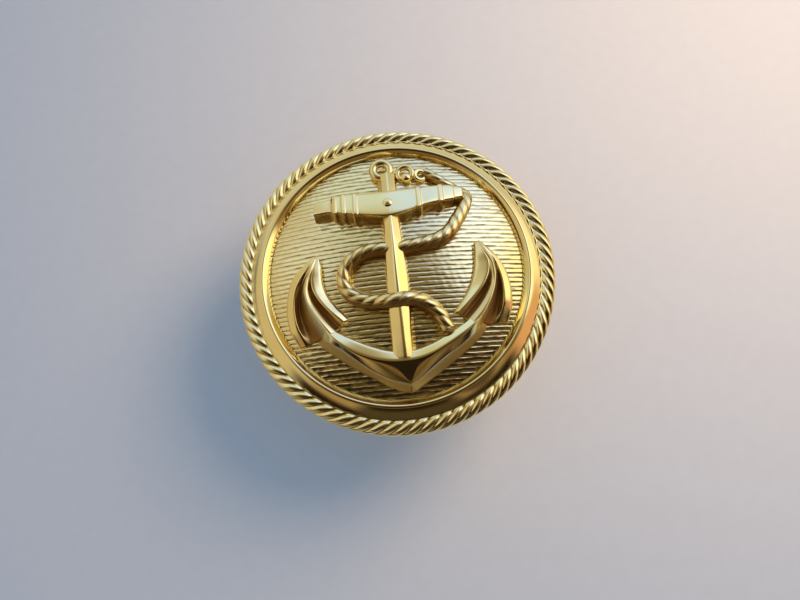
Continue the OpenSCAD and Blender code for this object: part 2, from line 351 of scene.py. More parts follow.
# bezel: a closed section spun round; over the rope it dips by one less a power of the sine across each
# strand, and the strands lean as they go round the section
def makeBezel():
    b = bezel
    ropeMid = b["outerR"] - b["ropeR"]
    low, top = np.radians(b["lowTurn"]), np.radians(b["topTurn"])
    turn = np.linspace(low, top, b["ropeRows"])
    outward = np.stack([np.cos(turn), np.sin(turn)], -1)
    rope = np.array([ropeMid, 0]) + b["ropeR"] * outward
    crestTop = np.array([b["crestR"], b["crestAboveRope"]])
    t = np.linspace(0, 1, b["bevelRows"])[1:]
    bevel = (np.outer((1 - t) ** 2, rope[-1]) + np.outer(2 * t * (1 - t), b["bevelBelly"])
             + np.outer(t * t, crestTop))
    lipZ = b["crestAboveRope"] - b["wallDrop"]
    seatZ = backZ - ropeZ
    crimpZ = seatZ + b["crimp"]
    seatIn, seatOut = b["seat"]
    wall = [crestTop - b["crestFall"], b["wallBend"], (b["fieldR"], lipZ)]
    skirt = [(b["fieldR"], lipZ), (b["cavityR"], lipZ), (b["cavityR"], crimpZ), (seatIn, crimpZ),
             (seatIn, seatZ), (seatOut, seatZ), rope[0]]
    profile = np.concatenate([rope, bevel, softProfile(wall, step=0.06, passes=2, closed=False)[:-1],
                              softProfile(skirt, step=0.16, passes=1, closed=False)[:-1]])
    crest = len(rope) + len(bevel) - 1
    for _ in range(4):  # rounds the crest
        near = profile[crest - 6:crest + 7]
        profile[crest - 5:crest + 6] = (near[:-2] + 2 * near[1:-1] + near[2:]) / 4
    plain = len(profile) - len(rope)  # rows that are not rope
    outward = np.concatenate([outward, np.zeros((plain, 2))])
    ends = np.clip(np.minimum(turn - low, top - turn) / np.radians(b["cutEnds"]), 0, 1)
    amount = np.concatenate([ends * ends * (3 - 2 * ends), np.zeros(plain)])
    lean = np.concatenate([turn - low, (top - low) * np.linspace(1, 0, plain)])
    lean = lean * b["ropeR"] / np.tan(np.radians(b["slant"])) / ropeMid
    column = np.linspace(0, 2 * np.pi, b["strands"] * b["perStrand"], endpoint=False)
    dip = 1 - np.abs(np.sin(b["strands"] * column / 2)) ** b["cutPower"]
    cut = b["cut"] * dip[:, None] * amount[None, :]
    r = profile[None, :, 0] - outward[None, :, 0] * cut
    z = profile[None, :, 1] - outward[None, :, 1] * cut + ropeZ
    around = column[:, None] + lean[None, :]
    grid = np.stack([r * np.cos(around), r * np.sin(around), z], -1)
    gone = lengthAlong(profile)
    # painted shade along the groove at the bevel's foot and in the valleys between strands
    dull, half = b["grooveShade"]
    grooveShade = dull * np.exp(-((gone - gone[len(rope)]) / half) ** 2)
    valley = np.clip(dip[:, None] * 2 - 1.05, 0, 1) * amount[None, :]  # painted shade and dulling, only on the lower half of each valley between strands
    makePiece("rope_bezel", [closedSkin(grid, closeRows=True)], bezelGilt, "rope_rim",
              sunk=np.maximum(valley, grooveShade[None, :]).ravel())


makeBezel()

field = {
    "edgeR": 9.8,  # under the bezel's lip
    "lastRow": 0.9995,  # share of that radius where the rows end
    "thick": 0.5,
    "pitch": 0.33,  # from line to line
    "depth": 0.034,
    "depthRange": (0.9, 0.85, 0.2, 1.6),  # shares of the depth: usual, swing, least and most
    "mouth": 0.42,  # share of the pitch that a line takes
    "perLine": 8,
    "columns": 186,
    "underColumns": 8,
    "waver": 0.025,  # how far a line strays
    "wobble": 0.0035,  # unevenness along a line
    "dull": 0.62,  # painted shade and dulling in the lines
    "shadeSide": (0.72, -0.7),  # more painted shade towards the lower right
    "shadeFrom": 4.8,  # from this far out
    "shadeOver": 3,  # and fully after this much more
}


# slow, fixed wandering of a cut line, made of a few waves
def waver(x, row):
    a = np.sin(1.3 * x + 2.1 * row) + 0.6 * np.sin(3.1 * x - 1.7 * row + 1.0)
    return (a + 0.4 * np.sin(7.3 * x + 5.9 * row)) / 2


# quicker, fixed unevenness: two waves along a line, which start elsewhere on every line
def wobble(x, row):
    return np.sin(13.4 * x + 37.7 * np.sin(12.99 * row)) + np.sin(7.6 * x + 19.1 * np.sin(78.23 * row))


# ruled face: rows run along the lines, and the height is the dome less a rounded cut at every line
def makeFace():
    f = field
    lines = int(f["edgeR"] / f["pitch"])
    rows = np.linspace(-1, 1, 2 * lines * f["perLine"] + 1) * f["lastRow"] * f["edgeR"]
    half = np.sqrt(f["edgeR"] ** 2 - rows ** 2)
    x = half[:, None] * np.linspace(-1, 1, f["columns"])[None, :]
    y = rows[:, None] + 0 * x
    line = np.round(rows / f["pitch"])[:, None]
    usual, swing, least, most = f["depthRange"]
    deep = f["depth"] * np.clip(usual + swing * waver(x * 1.7 + 3, line * 1.3), least, most)
    away = np.abs(rows[:, None] / f["pitch"] - line) * 2 / f["mouth"]
    cut = np.where(away < 1, 0.5 + 0.5 * np.cos(np.pi * np.clip(away, 0, 1)), 0)
    z = domeZ(x, y) - deep * cut - f["wobble"] * (wobble(x, line) + 2) / 2
    top = np.stack([x, y + f["waver"] * waver(x, line), z], -1)
    few = half[:, None] * np.linspace(1, -1, f["underColumns"])[None, :]
    under = np.stack([few, rows[:, None] + 0 * few, domeZ(few, rows[:, None]) - f["thick"]], -1)
    # painted shade in the cut lines, darker towards the lower right
    out = f["shadeSide"][0] * x + f["shadeSide"][1] * y - f["shadeFrom"]
    dull = f["dull"] + np.clip(out / f["shadeOver"], 0, 1)
    sunk = np.concatenate([np.minimum(dull * cut, 1), 0 * few], 1)
    makePiece("ruled_face", [closedSkin(np.concatenate([top, under], 1))], fieldGilt, "face_plate",
              sunk=withEnds(sunk))


makeFace()

buried = -0.3  # feet of the anchor's skins end this far under the field

crown = {
    "count": 240,  # rows along the arms
    "across": 12,  # columns from one line to the next
    "round": 4,  # times that edges are averaged
    # inner edge, ridge, outer edge and outer foot of the arms, left to right:
    # place and height over the field
    "inner": [(-4.95, -3.6, 0.55), (-4.35, -4.22, 0.66), (-4.0, -4.46, 0.66), (-3.0, -5.02, 0.66),
              (-2.0, -5.5, 0.66), (-1.0, -5.85, 0.66), (0.1, -6.02, 0.66), (1.1, -5.92, 0.66),
              (2.0, -5.66, 0.66), (3.0, -5.2, 0.66), (4.0, -4.66, 0.66), (4.6, -4.28, 0.66),
              (5.35, -3.55, 0.55)],
    "ridge": [(-5.2, -3.75, 0.86), (-4.65, -4.55, 0.97), (-4.0, -5.22, 1.0), (-3.0, -5.9, 1.0),
              (-2.0, -6.34, 1.0), (-1.0, -6.58, 1.0), (0.2, -6.64, 1.0), (1.2, -6.56, 1.0),
              (2.0, -6.34, 1.0), (3.0, -5.86, 1.0), (4.0, -5.28, 1.0), (5.0, -4.6, 0.97),
              (5.85, -3.7, 0.86)],
    "edgeLeft": [(-5.75, -4.15, -0.15), (-5.3, -4.5, 0.45), (-4.9, -4.85, 0.7), (-4.0, -5.56, 0.8),
                 (-3.0, -6.36, 0.76), (-2.0, -7.12, 0.68), (-1.0, -7.7, 0.67), (0.4, -8.15, 0.8)],
    "edgeRight": [(0.4, -8.15, 0.8), (1.0, -7.84, 0.72), (2.0, -7.14, 0.68), (3.0, -6.46, 0.7),
                  (4.0, -5.88, 0.72), (4.95, -5.18, 0.62), (5.5, -4.64, 0.4), (6.05, -4.1, -0.15)],
    "footLeft": [(-6.1, -4.6, -0.28), (-5.6, -5.0, -0.06), (-5.0, -5.5, 0.02), (-4.0, -6.3, 0.02),
                 (-3.0, -7.0, 0.02), (-2.0, -7.6, 0.02), (-1.0, -8.2, 0.02), (-0.1, -8.58, 0.02),
                 (0.4, -8.7, 0.02)],
    "footRight": [(0.4, -8.7, 0.02), (0.75, -8.57, 0.02), (1.1, -8.36, 0.02), (2.0, -7.8, 0.02),
                  (3.0, -7.16, 0.02), (4.0, -6.5, 0.02), (5.0, -5.75, 0.02), (5.75, -5.1, -0.06),
                  (6.4, -4.5, -0.28)],
    "point": 0.14,  # share of the arms' length over which the lower face runs to the point
    "innerSide": ((0.12, buried), (0.06, 0.1)),  # its two lines: how far in, and their height
    "underEdge": 0.15,  # share of the way from the outer edge to the foot
    # painted shade on each line, from the inner side to the outer foot
    "sunk": (0.3, 0.2, 0, 0, 0.15, 0.6, 0.65, 0.7),
}


# a line in two halves that waits at the middle point, so that the face above it narrows to a point
def pointedLine(left, right, count, wait):
    still = int(count * wait)
    first = (count - still) // 2
    return np.concatenate([smoothLine(left, first), np.repeat([left[-1]], still, 0),
                           smoothLine(right, count - first - still)])


# a line moved sideways and laid at one height
def shifted(line, dx, dy, height):
    moved = np.array(line, float)
    moved[:, :2] += (dx, dy)
    moved[:, 2] = height
    return moved


# loft with the painted shade of each line, set on the field
def sunkLoft(lines, sunk, across, passes):
    rails = [np.column_stack([line, np.full(len(line), value)]) for line, value in zip(lines, sunk)]
    rows = loft(rails, across, passes)
    return closedSkin(onField(rows)), withEnds(rows[..., 3])


# arms: lofted from the inner side over the ridge and the outer edge down to the outer foot
def armsSkin():
    c = crown
    inner = smoothLine(c["inner"], c["count"])
    ridge = smoothLine(c["ridge"], c["count"])
    edge = pointedLine(c["edgeLeft"], c["edgeRight"], c["count"], c["point"])
    foot = pointedLine(c["footLeft"], c["footRight"], c["count"], 0)
    side = [shifted(inner, 0, dy, height) for dy, height in c["innerSide"]]
    under = edge * (1 - c["underEdge"]) + foot * c["underEdge"]
    lines = [*side, inner, ridge, edge, under, foot, shifted(foot, 0, -0.03, buried)]
    return sunkLoft(lines, c["sunk"], c["across"], c["round"])


fluke = {
    "count": 140,
    "across": 10,
    "round": 4,
    # painted shade on each line at the base, deepest in the scoops: foot, rim, scoop, horn, scoop, crest
    # and foot
    "sunk": (0, 0, 0.1, 1.0, 1.0, 0, 0.35, 1.0, 0, 0, 0),
    "sunkRun": (-0.2, 2.0),  # share of it from the bill to the base, held between none and all
    "outerFoot": (0.12, 0.05),  # feet stand this far from the first and the last line
    "innerFoot": (-0.1, 0.02),
    "endRun": 0.16,  # length of the last row
    # from the outer rim over scoop, horn and scoop to the inner edge, each from the bill to the base
    "right": [
        [(6.0, 1.38, 0.3), (6.62, 0.75, 0.45), (7.18, 0.05, 0.52), (7.58, -0.7, 0.55), (7.82, -1.6, 0.56),
         (7.9, -2.5, 0.56), (7.8, -3.5, 0.48), (7.45, -4.45, 0.12)],
        [(5.97, 1.28, 0.4), (6.5, 0.6, 0.58), (6.95, -0.15, 0.66), (7.15, -0.85, 0.7), (7.28, -1.6, 0.72),
         (7.28, -2.5, 0.72), (7.15, -3.4, 0.64), (6.85, -4.45, 0.2)],
        [(5.95, 1.24, 0.42), (6.42, 0.52, 0.58), (6.84, -0.25, 0.6), (7.02, -0.95, 0.42),
         (7.06, -1.7, 0.2), (6.98, -2.6, 0.06), (6.75, -3.5, 0.02), (6.3, -4.55, 0.0)],
        [(5.93, 1.2, 0.46), (6.38, 0.48, 0.66), (6.78, -0.3, 0.76), (6.94, -1.0, 0.74), (6.92, -1.8, 0.6),
         (6.72, -2.7, 0.48), (6.3, -3.6, 0.4), (5.65, -4.5, 0.28)],
        [(5.9, 1.18, 0.48), (6.32, 0.45, 0.72), (6.7, -0.3, 0.86), (6.8, -1.05, 0.94), (6.7, -1.9, 0.98),
         (6.38, -2.75, 1.0), (5.9, -3.55, 1.0), (5.0, -4.55, 0.95)],
        [(5.87, 1.16, 0.46), (6.26, 0.42, 0.7), (6.58, -0.3, 0.82), (6.62, -1.05, 0.86),
         (6.45, -1.9, 0.82), (6.05, -2.65, 0.78), (5.5, -3.4, 0.74), (4.6, -4.3, 0.64)],
        [(5.85, 1.15, 0.45), (6.22, 0.4, 0.68), (6.5, -0.3, 0.76), (6.48, -1.05, 0.68),
         (6.22, -1.8, 0.36), (5.75, -2.5, 0.14), (5.15, -3.15, 0.06), (4.35, -3.95, 0.05)],
        [(5.83, 1.14, 0.45), (6.18, 0.38, 0.68), (6.42, -0.3, 0.78), (6.36, -1.05, 0.8),
         (6.05, -1.75, 0.78), (5.52, -2.4, 0.72), (4.88, -3.0, 0.62), (4.1, -3.65, 0.5)],
        [(5.68, 1.15, 0.36), (5.6, 0.4, 0.34), (5.5, -0.4, 0.3), (5.28, -1.25, 0.3), (4.92, -2.05, 0.28),
         (4.5, -2.7, 0.28), (4.1, -3.2, 0.27), (3.75, -3.65, 0.26)],
    ],
    "left": [
        [(-5.62, 1.28, 0.3), (-6.25, 0.72, 0.45), (-6.95, 0.12, 0.52), (-7.42, -0.7, 0.55),
         (-7.68, -1.7, 0.56), (-7.75, -2.7, 0.56), (-7.62, -3.7, 0.5), (-7.0, -5.0, 0.15)],
        [(-5.55, 1.15, 0.4), (-6.0, 0.5, 0.58), (-6.5, -0.2, 0.66), (-6.9, -0.95, 0.7),
         (-7.1, -1.8, 0.72), (-7.12, -2.7, 0.72), (-7.0, -3.6, 0.66), (-6.55, -4.9, 0.22)],
        [(-5.5, 1.08, 0.42), (-5.92, 0.35, 0.55), (-6.38, -0.4, 0.48), (-6.72, -1.1, 0.28),
         (-6.85, -1.9, 0.12), (-6.8, -2.75, 0.04), (-6.6, -3.6, 0.02), (-6.05, -4.75, 0.0)],
        [(-5.47, 1.04, 0.46), (-5.86, 0.28, 0.62), (-6.25, -0.5, 0.7), (-6.5, -1.2, 0.66),
         (-6.52, -2.0, 0.54), (-6.35, -2.8, 0.44), (-6.0, -3.6, 0.4), (-5.45, -4.55, 0.3)],
        [(-5.45, 1.02, 0.48), (-5.8, 0.25, 0.7), (-6.12, -0.55, 0.84), (-6.25, -1.25, 0.92),
         (-6.12, -2.05, 0.97), (-5.72, -2.85, 1.0), (-5.25, -3.6, 1.0), (-4.65, -4.45, 0.95)],
        [(-5.42, 1.0, 0.46), (-5.72, 0.22, 0.66), (-5.98, -0.55, 0.76), (-6.05, -1.25, 0.8),
         (-5.85, -2.05, 0.78), (-5.42, -2.8, 0.75), (-4.93, -3.5, 0.72), (-4.3, -4.25, 0.64)],
        [(-5.4, 1.0, 0.44), (-5.66, 0.2, 0.58), (-5.88, -0.55, 0.54), (-5.88, -1.25, 0.36),
         (-5.6, -2.0, 0.2), (-5.15, -2.7, 0.1), (-4.65, -3.3, 0.06), (-4.1, -3.9, 0.05)],
        [(-5.38, 1.0, 0.44), (-5.6, 0.2, 0.6), (-5.78, -0.5, 0.68), (-5.72, -1.2, 0.7),
         (-5.38, -1.9, 0.7), (-4.9, -2.55, 0.66), (-4.38, -3.1, 0.6), (-3.8, -3.65, 0.5)],
        [(-5.22, 1.02, 0.38), (-5.1, 0.3, 0.36), (-5.08, -0.4, 0.34), (-4.98, -1.1, 0.32),
         (-4.66, -1.85, 0.3), (-4.22, -2.5, 0.28), (-3.8, -3.0, 0.27), (-3.4, -3.5, 0.26)],
    ],
}


# fluke: lofted over its lines, with a last row that runs down into the field at the base
def flukeSkin(side):
    f = fluke
    way = 1 if side == "right" else -1
    lines = [smoothLine(line, f["count"]) for line in f[side]]
    (outX, outY), (inX, inY) = f["outerFoot"], f["innerFoot"]
    lines = [shifted(lines[0], outX * way, outY, buried), *lines,
             shifted(lines[-1], inX * way, inY, buried)]
    # painted shade grows from the bill towards the base
    share = np.clip(np.linspace(*f["sunkRun"], f["count"]), 0, 1)
    rails = [np.column_stack([line, sunk * share]) for line, sunk in zip(lines, f["sunk"])]
    rows = loft(rails, f["across"], f["round"])
    ahead = rows[-1, :, :2] - rows[-6, :, :2]
    ahead *= f["endRun"] / np.linalg.norm(ahead, axis=1)[:, None]
    end = rows[-1:].copy()
    end[0, :, :2] += ahead
    end[0, :, 2] = buried
    rows = np.concatenate([rows, end])
    return closedSkin(onField(rows)), withEnds(rows[..., 3])


shank = {
    "count": 160,
    "across": 12,
    "round": 4,
    # painted shade on the side walls and their feet
    "sunk": (0.6, 0.55, 0, 0, 0, 0.55, 0.6),
    # left foot and edge, ridge, right edge and foot from the head down to the arms
    "lines": [
        [(-0.75, 7.1, 0.0), (-0.7, 3.0, 0.0), (-0.7, -1.5, 0.0), (-0.68, -5.2, 0.0), (-0.68, -6.0, 0.0),
         (-0.68, -6.5, 0.0)],
        [(-0.42, 7.1, 0.6), (-0.48, 3.0, 0.64), (-0.6, -1.5, 0.64), (-0.6, -5.2, 0.68),
         (-0.6, -6.0, 0.74), (-0.6, -6.5, 0.79)],
        [(0.0, 7.1, 0.85), (0.05, 3.0, 1.0), (0.1, -1.5, 1.0), (0.18, -5.2, 1.0), (0.2, -6.0, 1.05),
         (0.2, -6.5, 1.09)],
        [(0.55, 7.1, 0.55), (0.62, 3.0, 0.62), (0.84, -1.5, 0.62), (0.72, -5.2, 0.68), (0.72, -6.0, 0.74),
         (0.72, -6.5, 0.79)],
        [(0.66, 7.1, 0.0), (0.76, 3.0, 0.0), (0.95, -1.5, 0.0), (0.98, -5.2, 0.0), (0.98, -6.0, 0.0),
         (0.98, -6.5, 0.0)],
    ],
}


# the anchor's shank: lofted from side to side over its ridge
def shankSkin():
    s = shank
    lines = [smoothLine(line, s["count"]) for line in s["lines"]]
    lines = [shifted(lines[0], 0, 0, buried), *lines, shifted(lines[-1], 0, 0, buried)]
    return sunkLoft(lines, s["sunk"], s["across"], s["round"])


stock = {
    "count": 420,
    "across": 12,
    "round": 3,
    # lower and upper edge of the top face, left to right
    "low": [(-5.4, 4.25), (-4.0, 4.2), (-3.3, 4.08), (-2.2, 3.75), (-1.0, 3.48), (0.0, 3.38), (1.0, 3.55),
            (2.0, 3.92), (3.0, 4.2), (4.0, 4.38), (5.25, 4.6)],
    "top": [(-5.4, 5.28), (-4.0, 5.4), (-3.0, 5.42), (-1.0, 5.34), (0.0, 5.34), (1.0, 5.4), (2.0, 5.44),
            (3.0, 5.54), (4.0, 5.6), (5.25, 5.5)],
    "height": (1.08, 0.94),  # at the middle and at the ends
    "lean": 0.4,  # how far the lower side slopes out
    "hoops": (-3.86, -3.2, -2.35, 2.12, 3.7),
    "hoopHalf": 0.15,
    "hoopProud": 0.09,
    "block": (-3.95, -2.45),  # thicker part between the left hoops
    "blockProud": 0.08,
    "endBlocks": (-4.05, 4.6),
    "endStep": 0.08,  # depth of the step down to an end block, and its length
    "topSwell": 0.6,  # share of the swelling that shows on the upper edge
    # painted shade on the lower side and its foot
    "sunk": (0.6, 0.6, 0.4, 0, 0, 0),
}


# the stock's section follows x: its edges are smooth lines, it steps down to its end blocks, and it
# swells at each hoop and over the block between two of them
def stockSkin():
    s = stock
    low = smoothLine(s["low"], s["count"])
    top = smoothLine(s["top"], s["count"])
    x = low[:, 0]
    out = np.abs(x) / x[-1]
    (blockLeft, blockRight), (leftEnd, rightEnd) = s["block"], s["endBlocks"]
    hoops = sum(1 / (1 + ((x - h) / s["hoopHalf"]) ** 8) for h in s["hoops"]) * s["hoopProud"]
    block = s["blockProud"] / (1 + ((2 * x - (blockLeft + blockRight)) / (blockRight - blockLeft)) ** 12)
    step = np.clip((leftEnd - x) / s["endStep"], 0, 1) + np.clip((x - rightEnd) / s["endStep"], 0, 1)
    swell = hoops + block - s["endStep"] * step
    lowY, topY = low[:, 1] - swell, np.interp(x, top[:, 0], top[:, 1]) + swell * s["topSwell"]
    middle, ends = s["height"]
    high = middle + (ends - middle) * out + swell
    # from the lower foot over the top face to the upper foot: place and height
    places = ((lowY - s["lean"], buried), (lowY - 0.8 * s["lean"], 0.05), (lowY - 0.1, high - 0.2),
              (lowY, high - 0.04), (topY, high), (topY + 0.12, buried))
    lines = [np.stack([x, y, h + 0 * x], -1) for y, h in places]
    return sunkLoft(lines, s["sunk"], s["across"], s["round"])


cable = {
    "count": 520,
    "columns": 42,
    "radius": 0.52,
    "startRadius": 0.36,
    "strands": 3,
    "lay": 2.4,  # length of one full twist
    "cut": 0.045,
    "cutPower": 0.8,  # lower is a sharper valley
    "thickens": (-0.6, 5.5),  # share of the full radius from end to end, held between none and all
    "sunk": (0.75, 0.9),  # painted shade between strands, and on the lower side
    # the rope's way from the last link, behind the stock's right end, behind the shank and over it to
    # the right arm
    "way": [(2.75, 7.1, 0.36), (3.4, 6.6, 0.32), (4.1, 6.06, 0.22), (4.75, 5.64, 0.08), (5.25, 5.3, 0.12),
            (5.55, 4.88, 0.32), (5.5, 4.4, 0.44), (5.25, 3.85, 0.46), (4.9, 3.3, 0.44), (4.5, 2.7, 0.42),
            (4.05, 2.1, 0.4), (3.5, 1.68, 0.4), (2.5, 1.32, 0.38), (1.5, 1.15, 0.38), (0.7, 1.06, 0.36),
            (0.0, 1.03, 0.3), (-1.0, 1.08, 0.36), (-1.9, 0.98, 0.38), (-2.7, 0.6, 0.4), (-3.3, 0.0, 0.4),
            (-3.52, -0.7, 0.4), (-3.4, -1.45, 0.4), (-2.85, -2.1, 0.42), (-2.0, -2.48, 0.46),
            (-1.2, -2.6, 0.6), (-0.6, -2.66, 0.82), (0.15, -2.68, 0.94), (0.9, -2.62, 0.82),
            (1.6, -2.78, 0.55), (2.25, -3.2, 0.44), (2.75, -3.8, 0.42), (3.2, -4.8, 0.5)],
}


# round section carried along a way; its radius dips between strands, which turn steadily as they go
def ropeSkin(way, radius, look):
    ahead = np.gradient(way, axis=0)
    ahead /= np.linalg.norm(ahead, axis=1)[:, None]
    side = np.cross(ahead, [0, 0, 1.0])
    side /= np.linalg.norm(side, axis=1)[:, None]
    up = np.cross(side, ahead)
    u = np.linspace(0, 2 * np.pi, look["columns"], endpoint=False)
    dip = 1 - np.abs(np.sin(look["strands"] * u / 2)) ** look["cutPower"]
    turn = u[None, :] + (2 * np.pi * lengthAlong(way) / look["lay"])[:, None]
    offset = np.cos(turn)[..., None] * side[:, None] + np.sin(turn)[..., None] * up[:, None]
    return way[:, None] + (radius[:, None] - look["cut"] * dip[None, :])[..., None] * offset, dip, offset


# the rope thickens after its first run and gets painted shade, with dulling, between strands and on its
# lower side
def cableSkin():
    c = cable
    way = onField(smoothLine(c["way"], c["count"]))
    t = np.clip(np.linspace(*c["thickens"], c["count"]), 0, 1)
    radius = c["startRadius"] + (c["radius"] - c["startRadius"]) * t * t * (3 - 2 * t)
    grid, dip, offset = ropeSkin(way, radius, c)
    below = np.clip(-2.2 * offset[..., 1] - 0.35, 0, 1)  # painted shade on the lower side, which starts a little under the middle
    between, lower = c["sunk"]
    return closedSkin(grid), withEnds(np.maximum(between * dip[None, :], lower * below))


headRing = {
    # rings from the shank's head to the rope: middle, ring radius, bar radius, tilt, lift
    "rings": [(-0.36, 7.48, 0.6, 0.31, 0.0, 0.42), (1.32, 7.1, 0.53, 0.21, 0.1, 0.28),
              (2.45, 6.86, 0.36, 0.2, -0.3, 0.24)],
    "ball": (1.4, 6.72, 0.43, 0.42, 0.12),
}


# ring lying on the field: a small circle carried round a large one, tipped about its own middle
def linkSkin(x, y, ringR, barR, tilt, lift, columns=64, section=24):
    a = np.linspace(0, 2 * np.pi, columns, endpoint=False)[:, None]
    b = np.linspace(0, 2 * np.pi, section, endpoint=False)[None, :]
    px = (ringR + barR * np.cos(b)) * np.cos(a)
    py = (ringR + barR * np.cos(b)) * np.sin(a)
    pz = barR * np.sin(b) + 0 * a + tilt * px
    z = domeZ(np.array(x), np.array(y)) + lift
    return closedSkin(np.stack([x + px, y + py, z + pz], -1), closeRows=True)


# low button: a quarter ellipse of given radius and height, spun and set over the field
def ballSkin(x, y, radius, height, lift, columns=40, rows=18):
    a = np.linspace(0, 2 * np.pi, columns, endpoint=False)[None, :]
    t = np.linspace(0.06, 1, rows)[:, None] * np.pi / 2
    z = domeZ(np.array(x), np.array(y)) + lift + height * np.cos(t) + 0 * a
    grid = np.stack([x + radius * np.sin(t) * np.cos(a), y + radius * np.sin(t) * np.sin(a), z], -1)
    base = grid[-1:].copy()
    base[..., 2] -= height + 0.5
    return closedSkin(np.concatenate([grid, base]))


boss = {"x": -0.08, "y": 4.3, "radius": 0.36, "height": 0.16, "lift": 1.02}  # on the stock's middle


# the anchor's pieces run into each other, as one casting would
def makeAnchor():
    def add(name, skins, sunk=None):
        makePiece(name, skins, anchorGilt, "anchor_emblem", sunk=sunk)

    arms, sunk = armsSkin()
    add("anchor_arms", [arms], sunk)
    left, right = flukeSkin("left"), flukeSkin("right")
    add("anchor_flukes", [left[0], right[0]], np.concatenate([left[1], right[1]]))
    bar, sunk = shankSkin()
    add("anchor_shank", [bar], sunk)
    bar, sunk = stockSkin()
    stud = ballSkin(**boss)
    add("anchor_stock", [bar, stud], np.concatenate([sunk, np.zeros(len(stud[0]))]))
    rope, sunk = cableSkin()
    add("anchor_rope", [rope], sunk)
    add("anchor_ring", [*(linkSkin(*ring) for ring in headRing["rings"]), ballSkin(*headRing["ball"])])


makeAnchor()

back = {
    "hubR": 6.74,
    "slope": 0.7,
    "edgeR": 9.78,
    "thick": 0.48,
    "holeR": 1.47,
    "bead": (5.2, 0.35, 0.09),  # pressed ring: radius, half width, depth
    "columns": 240,
}


# stamped back: its section spun round, with one shallow pressed ring
def makeBack():
    b = back
    rise, thick = bezel["crimp"], b["thick"]
    brimR = b["hubR"] + b["slope"]
    corners = [(b["holeR"], 0), (b["hubR"], 0), (brimR, rise), (b["edgeR"], rise),
               (b["edgeR"], rise + thick), (brimR, rise + thick), (b["hubR"], thick), (b["holeR"], thick)]
    profile = softProfile(corners, step=0.08, passes=3)
    ring, half, deep = b["bead"]
    near = np.clip(np.abs(profile[:, 0] - ring) / half, 0, 1)
    profile[:, 1] += deep * (0.5 + 0.5 * np.cos(np.pi * near)) * (profile[:, 1] < thick / 2)
    profile[:, 1] += backZ
    makePiece("stamped_back", [closedSkin(spin(profile, b["columns"]), closeRows=True)], backGilt,
              "back_plate")


makeBack()

eyelet = {
    "boreR": 1.08,
    "barrelR": 1.43,
    "flangeR": 2.43,
    "collar": 0.35,  # stands this far out of the back
    "plate": 0.5,  # room for the back between the flanges
    "clinch": 0.72,  # height of the inner flange's top
    "columns": 120,
}


# rolled eyelet: a barrel with a flange on both sides of the back, its section spun round
def makeEyelet():
    e = eyelet
    corners = [(e["boreR"], -e["collar"]), (e["flangeR"], -e["collar"]), (e["flangeR"], 0),
               (e["barrelR"], 0), (e["barrelR"], e["plate"]), (e["flangeR"], e["plate"]),
               (e["flangeR"], e["clinch"]), (e["boreR"], e["clinch"])]
    profile = softProfile(corners, step=0.04, passes=6)
    profile[:, 1] += backZ
    makePiece("rolled_eyelet", [closedSkin(spin(profile, e["columns"]), closeRows=True)], shankBrass,
              "shank_eyelet")


makeEyelet()

eye = {
    "ringR": 2.35,
    "barR": 0.65,
    "columns": (140, 44),  # round the ring and round its bar
    "neck": ((0.02, -0.3), (0.62, -0.3), (0.72, 0.2), (0.95, 0.5)),  # radius, height over the bar's middle
    "shoulderR": 1.6,
    "shoulderZ": 6.45,
    "shoulderH": 0.25,
    "stemR": 1.0,
    "headZ": backZ + 1.07,
    "headR": 1.7,
    "headH": 0.45,
    "headFlat": ((1.2, -0.02), (0.02, -0.02)),  # radius, height from the head's top
    "stemColumns": 96,
}


# sewn ring, with a neck that flares from the ring up to the shoulder, a stem and a riveted head
def makeEye():
    e = eye
    a, b = (np.linspace(0, 2 * np.pi, n, endpoint=False) for n in e["columns"])
    a, b = a[:, None], b[None, :]
    reach = e["ringR"] + e["barR"] * np.cos(b)
    ringZ = e["ringR"] + e["barR"]
    ring = np.stack([reach * np.cos(a), e["barR"] * np.sin(b) + 0 * a, ringZ + reach * np.sin(a)], -1)
    neckZ, headTop = ringZ + e["ringR"], e["headZ"] + e["headH"]
    corners = [*((r, neckZ + h) for r, h in e["neck"]),
               (e["shoulderR"], e["shoulderZ"] - e["shoulderH"]), (e["shoulderR"], e["shoulderZ"]),
               (e["stemR"], e["shoulderZ"]), (e["stemR"], e["headZ"]),
               (e["headR"], e["headZ"]), (e["headR"], e["headZ"] + e["headH"] / 2),
               *((r, headTop + h) for r, h in e["headFlat"])]
    line = softProfile(corners, step=0.05, passes=4, closed=False)
    neck = spin(line, e["stemColumns"]).transpose(1, 0, 2)
    makePiece("sewing_eye", [closedSkin(ring, closeRows=True), closedSkin(neck)], shankBrass, "shank_loop",
              body="shank")


makeEye()


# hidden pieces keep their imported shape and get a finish, with noise for both colour and roughness:
# card, with fibres drawn out across the axis
def cardMaterial():
    material, nodes, links, shader = newMaterial("pressedCard")
    fibre = noise(nodes, links, 1800, 6, (1, 1, 4))
    colours = ((0.42, 0.31, 0.2, 1), (0.62, 0.5, 0.36, 1))
    links.new(ramp(nodes, links, fibre, noiseMiddle, colours), shader.inputs["Base Color"])
    links.new(mapRange(nodes, links, fibre, noiseMiddle, (0.75, 0.95)), shader.inputs["Roughness"])
    return material


# steel, with streaks drawn out across the axis
def steelMaterial():
    material, nodes, links, shader = newMaterial("washerSteel")
    brush = noise(nodes, links, 2400, 5, (1, 1, 6))
    colours = ((0.5, 0.5, 0.5, 1), (0.68, 0.68, 0.67, 1))
    links.new(ramp(nodes, links, brush, noiseMiddle, colours), shader.inputs["Base Color"])
    links.new(mapRange(nodes, links, brush, noiseMiddle, (0.25, 0.4)), shader.inputs["Roughness"])
    shader.inputs["Metallic"].default_value = 1.0
    return material


for nodeName, material in (("filler_disc", cardMaterial()), ("shank_washer", steelMaterial())):
    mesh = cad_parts[nodeName].data
    mesh.materials.clear()
    mesh.materials.append(material)
print("finish set on the hidden pieces")

